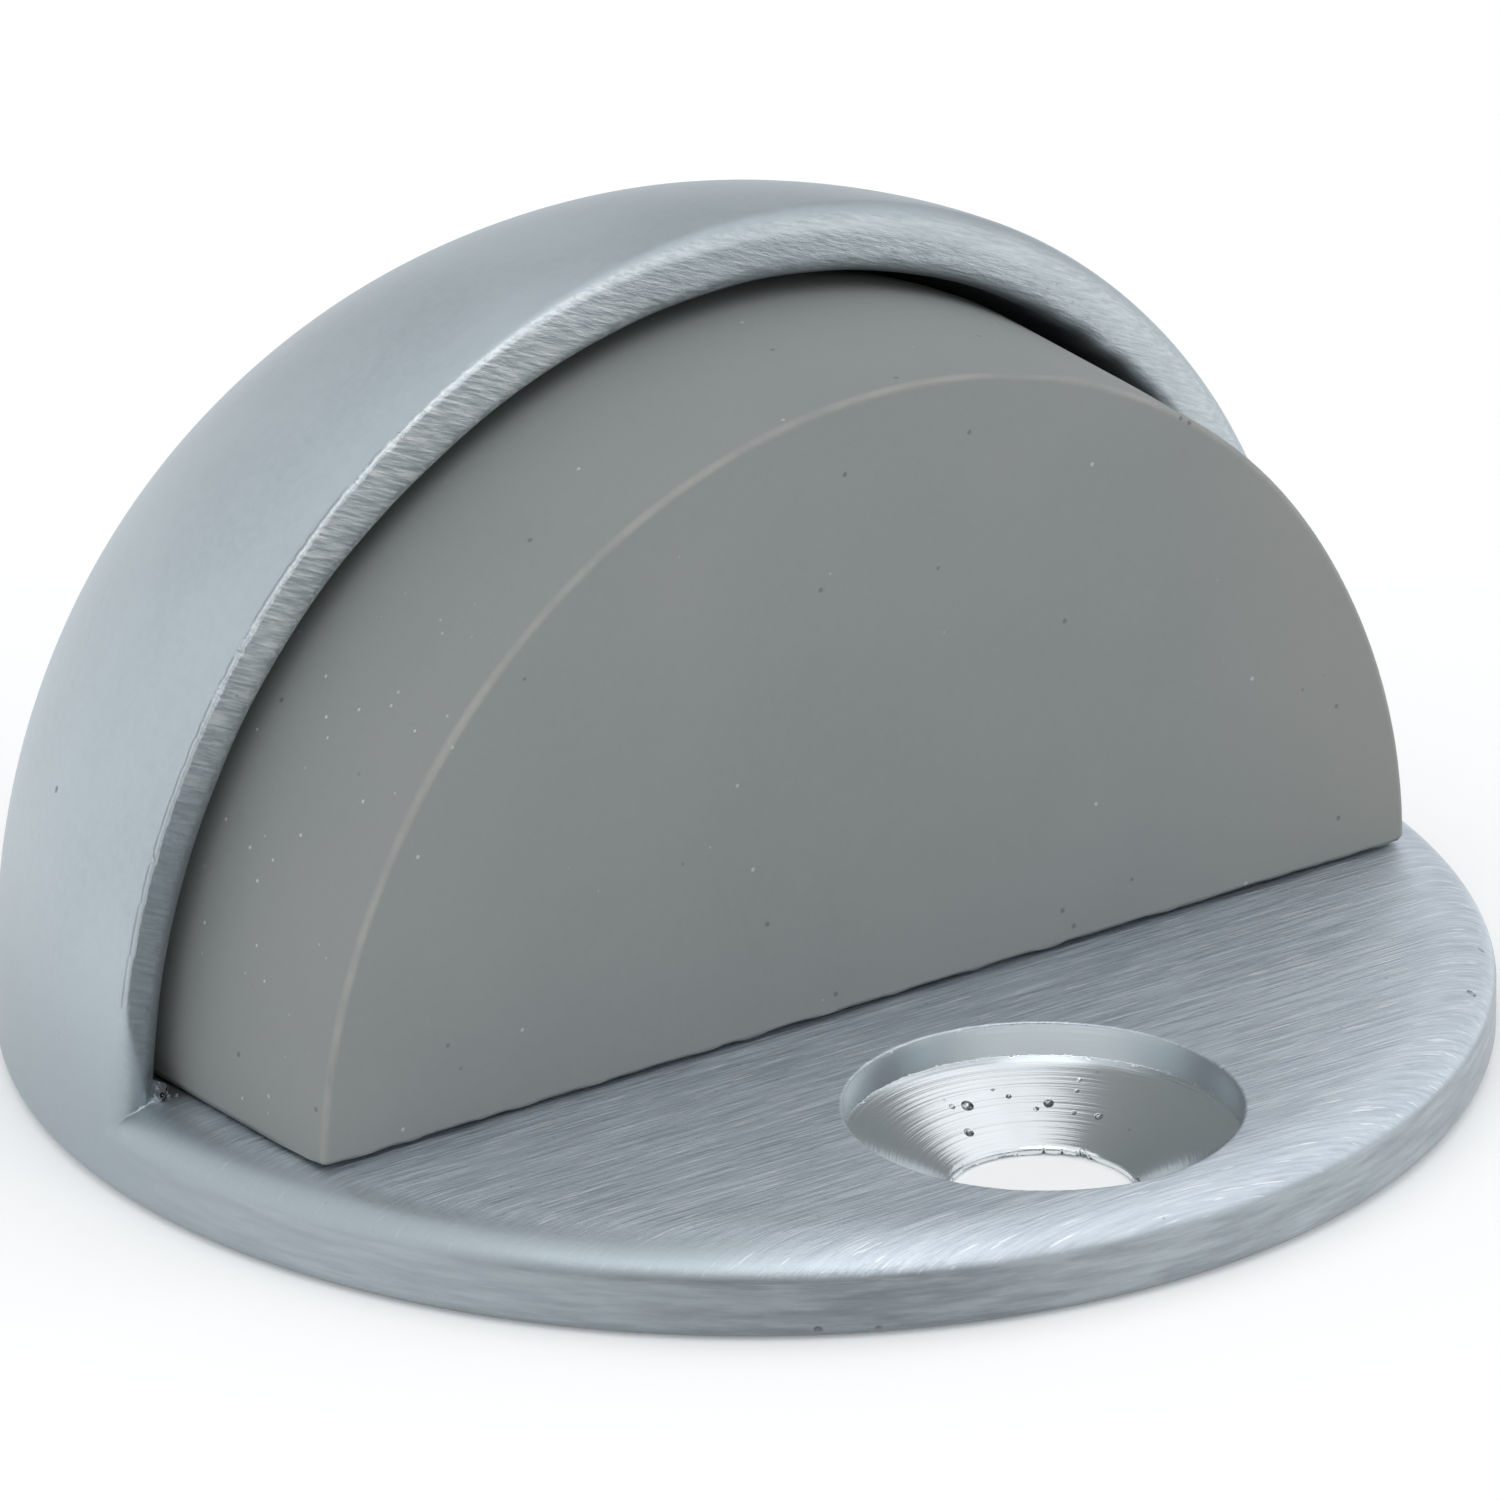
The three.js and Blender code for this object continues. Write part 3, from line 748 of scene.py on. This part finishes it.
def rubber_look():
    look = Look("grey_rubber")
    edge, right = rubber_edge(look), look.mask("right")
    cloud = look.noise(look.place((0.10, 0.10, 0.10)), 3.0, 0.5)
    base = look.mix(look.span(cloud, 0.3, 0.7), rgb(0.232, 0.248, 0.245), rgb(0.254, 0.268, 0.264))
    grain = look.noise(look.place((3.5, 3.5, 3.5)), 3.0, 0.6)
    base = look.mix(look.span(grain, 0.3, 0.7, 0.0, 0.35), base, rgb(0.270, 0.284, 0.278))
    base = look.mix(look.math("MULTIPLY", right, 0.30), base, rgb(0.29, 0.28, 0.245))
    # Painted sheen: a lighter line along the trimmed front edge of the rubber.
    edge_sheen = look.span(look.noise(look.place((0.5, 0.5, 0.5)), 2.0), 0.3, 0.65, 0.20, 0.60)
    base = look.mix(look.math("MULTIPLY", edge, edge_sheen), base, rgb(0.40, 0.395, 0.365))
    white = look.math("MULTIPLY", look.spots(0.55, 0.050, 3.1), 0.55)
    base = look.mix(white, base, rgb(0.55, 0.56, 0.56))
    flecks = look.math("MULTIPLY", look.spots(1.2, 0.085, 5.7), look.mask("flecked"))
    base = look.mix(look.math("MULTIPLY", flecks, 0.7), base, rgb(0.58, 0.60, 0.60))
    dark = look.math("MULTIPLY", look.spots(0.42, 0.045, 9.7), 0.6)
    base = look.mix(dark, base, rgb(0.10, 0.105, 0.105))
    look.feed(look.shader.inputs["Base Color"], base)
    look.feed(look.shader.inputs["Roughness"], look.span(grain, 0.3, 0.7, 0.62, 0.74))
    look.shader.inputs["Specular IOR Level"].default_value = 0.35
    normal = look.bump(look.noise(look.place((9.0, 9.0, 9.0)), 3.0, 0.65), 0.010)
    slack = look.noise(look.place((0.35, 0.35, 0.35)), 2.0, 0.5)
    normal = look.bump(slack, 0.05, normal)
    look.feed(look.shader.inputs["Normal"], normal)
    return look.material


def zinc_look():
    look = Look("zinc_steel")
    cloud = look.noise(look.place((0.9, 0.9, 0.9)), 4.0, 0.6)
    base = look.mix(look.span(cloud, 0.35, 0.65), rgb(0.50, 0.50, 0.47), rgb(0.64, 0.635, 0.585))
    stain = look.noise(look.place((0.35, 0.35, 0.35)), 2.0, 0.5)
    base = look.mix(look.span(stain, 0.5, 0.75, 0.0, 0.5), base, rgb(0.56, 0.53, 0.43))
    look.feed(look.shader.inputs["Base Color"], base)
    look.shader.inputs["Metallic"].default_value = 1.0
    look.feed(look.shader.inputs["Roughness"], look.span(cloud, 0.3, 0.7, 0.28, 0.44))
    grain = look.noise(look.place((8.0, 8.0, 8.0)), 3.0, 0.6)
    look.feed(look.shader.inputs["Normal"], look.bump(grain, 0.006))
    return look.material


# ---------------------------------------------------------------- pieces

satin, rubber, zinc = satin_look(), rubber_look(), zinc_look()

casting = build(
    "casting", "cast_body", casting_field, 0.42,
    [(bent(9), 0.20), (in_bore, 0.22), (bent(10), 0.10), (bent(18), 0.06),
     (near_marks(0.25), 0.06), (near_marks(0.10), 0.035)],
    casting_masks)
casting.data.materials.append(satin)

bumper = build(
    "bumper", "rubber_bumper", bumper_field, 0.45,
    [(bent(9), 0.20), (bent(12), 0.08)],
    bumper_masks)
bumper.data.materials.append(rubber)

nut_plate = build(
    "nut_plate", "bumper_nut_plate", nut_plate_field, 0.25,
    [(bent(15), 0.1)])
nut_plate.data.materials.append(zinc)

for side, screw_x in zip(("left", "right"), SCREW_X):
    screw = build(
        "screw_" + side, "bumper_screw_" + side, lambda p, at=screw_x: screw_field(p, at), 0.12,
        [(bent(25), 0.05)])
    screw.data.materials.append(zinc)


# ---------------------------------------------------------------- floor

def floor_look():
    look = Look("pale_floor")
    tone = look.noise(look.place((0.004, 0.004, 0.004)), 2.0, 0.5)
    base = look.mix(look.span(tone, 0.3, 0.7), rgb(0.84, 0.84, 0.84), rgb(0.87, 0.87, 0.87))
    look.feed(look.shader.inputs["Base Color"], base)
    look.shader.inputs["Roughness"].default_value = 0.9
    look.shader.inputs["Specular IOR Level"].default_value = 0.1
    look.shader.inputs["Emission Color"].default_value = rgb(1, 1, 1)
    look.shader.inputs["Emission Strength"].default_value = 0.18
    return look.material


FLOOR_GAP = 0.00002         # under the part's own floor face


def make_floor():
    bm = bmesh.new()
    bmesh.ops.create_circle(bm, cap_ends=True, segments=96, radius=1.5)
    mesh = bpy.data.meshes.new("floor")
    bm.to_mesh(mesh)
    bm.free()
    mesh.materials.append(floor_look())
    floor = bpy.data.objects.new("floor", mesh)
    floor.location.z = -FLOOR_GAP
    bpy.context.scene.collection.objects.link(floor)


make_floor()


# ---------------------------------------------------------------- camera

CAMERA_AZIMUTH = -36.62
CAMERA_ELEVATION = 24.14
CAMERA_ROLL = 0.2
CAMERA_DISTANCE = 1.6
CAMERA_LENS = 1209.6
AIM_RIGHT = 0.09 * MM
AIM_UP = 8.83 * MM


def make_camera():
    a, e = math.radians(CAMERA_AZIMUTH), math.radians(CAMERA_ELEVATION)
    back = Vector((math.sin(a) * math.cos(e), -math.cos(a) * math.cos(e), math.sin(e)))
    right = Vector((math.cos(a), math.sin(a), 0))
    up = back.cross(right)
    data = bpy.data.cameras.new("camera")
    data.sensor_width = 36
    data.lens = CAMERA_LENS
    data.clip_start, data.clip_end = 0.05, 20
    camera = bpy.data.objects.new("camera", data)
    camera.location = back * CAMERA_DISTANCE + right * AIM_RIGHT + up * AIM_UP
    camera.rotation_euler = (math.pi / 2 - e, 0, a)
    camera.rotation_euler.rotate_axis("Z", math.radians(CAMERA_ROLL))
    bpy.context.scene.collection.objects.link(camera)
    bpy.context.scene.camera = camera


make_camera()


# ---------------------------------------------------------------- light

def soft_light(name, place, size, watts):
    data = bpy.data.lights.new(name, "AREA")
    data.shape = "DISK"
    data.size = size
    data.energy = watts
    light = bpy.data.objects.new(name, data)
    light.location = place
    light.rotation_euler = (-Vector(place)).to_track_quat("-Z", "Y").to_euler()
    bpy.context.scene.collection.objects.link(light)


def make_world():
    """A white tent round the object, with a dark opening at the front and a dull side behind."""
    world = bpy.data.worlds.new("tent")
    world.use_nodes = True
    tree = world.node_tree
    tree.nodes.clear()
    output = tree.nodes.new("ShaderNodeOutputWorld")
    light = tree.nodes.new("ShaderNodeBackground")
    tree.links.new(light.outputs[0], output.inputs[0])
    coords = tree.nodes.new("ShaderNodeTexCoord").outputs["Generated"]
    a = math.radians(CAMERA_AZIMUTH)
    front = (math.sin(a) * 0.97, -math.cos(a) * 0.97, 0.24)
    behind = (0.62, 0.78, 0.0)

    def lobe(direction, start, full, least):
        """1 away from the direction, falling to least towards it."""
        toward = tree.nodes.new("ShaderNodeVectorMath")
        toward.operation = "DOT_PRODUCT"
        toward.inputs[1].default_value = direction
        tree.links.new(coords, toward.inputs[0])
        fall = tree.nodes.new("ShaderNodeMapRange")
        fall.interpolation_type = "SMOOTHSTEP"
        fall.inputs["From Min"].default_value = start
        fall.inputs["From Max"].default_value = full
        fall.inputs["To Min"].default_value = 1.0
        fall.inputs["To Max"].default_value = least
        tree.links.new(toward.outputs["Value"], fall.inputs["Value"])
        return fall.outputs["Result"]

    def times(first, second):
        node = tree.nodes.new("ShaderNodeMath")
        node.operation = "MULTIPLY"
        tree.links.new(first, node.inputs[0])
        tree.links.new(second, node.inputs[1])
        return node.outputs[0]

    folds = tree.nodes.new("ShaderNodeTexNoise")
    folds.inputs["Scale"].default_value = 3.0
    folds.inputs["Detail"].default_value = 1.0
    tree.links.new(coords, folds.inputs["Vector"])
    shade = tree.nodes.new("ShaderNodeMapRange")
    shade.inputs["From Min"].default_value = 0.40
    shade.inputs["From Max"].default_value = 0.60
    shade.inputs["To Min"].default_value = 0.86
    shade.inputs["To Max"].default_value = 1.10
    tree.links.new(folds.outputs["Fac"], shade.inputs["Value"])
    strength = times(lobe(front, 0.78, 0.98, 0.20), lobe(behind, 0.55, 0.95, 0.66))
    tree.links.new(times(strength, shade.outputs["Result"]), light.inputs[1])
    light.inputs[0].default_value = (0.97, 0.985, 1.0, 1)
    bpy.context.scene.world = world


make_world()
soft_light("overhead", (-0.24, -0.34, 0.80), 0.60, 1.15)
bpy.context.scene.view_settings.view_transform = "Standard"
bpy.context.scene.view_settings.look = "None"
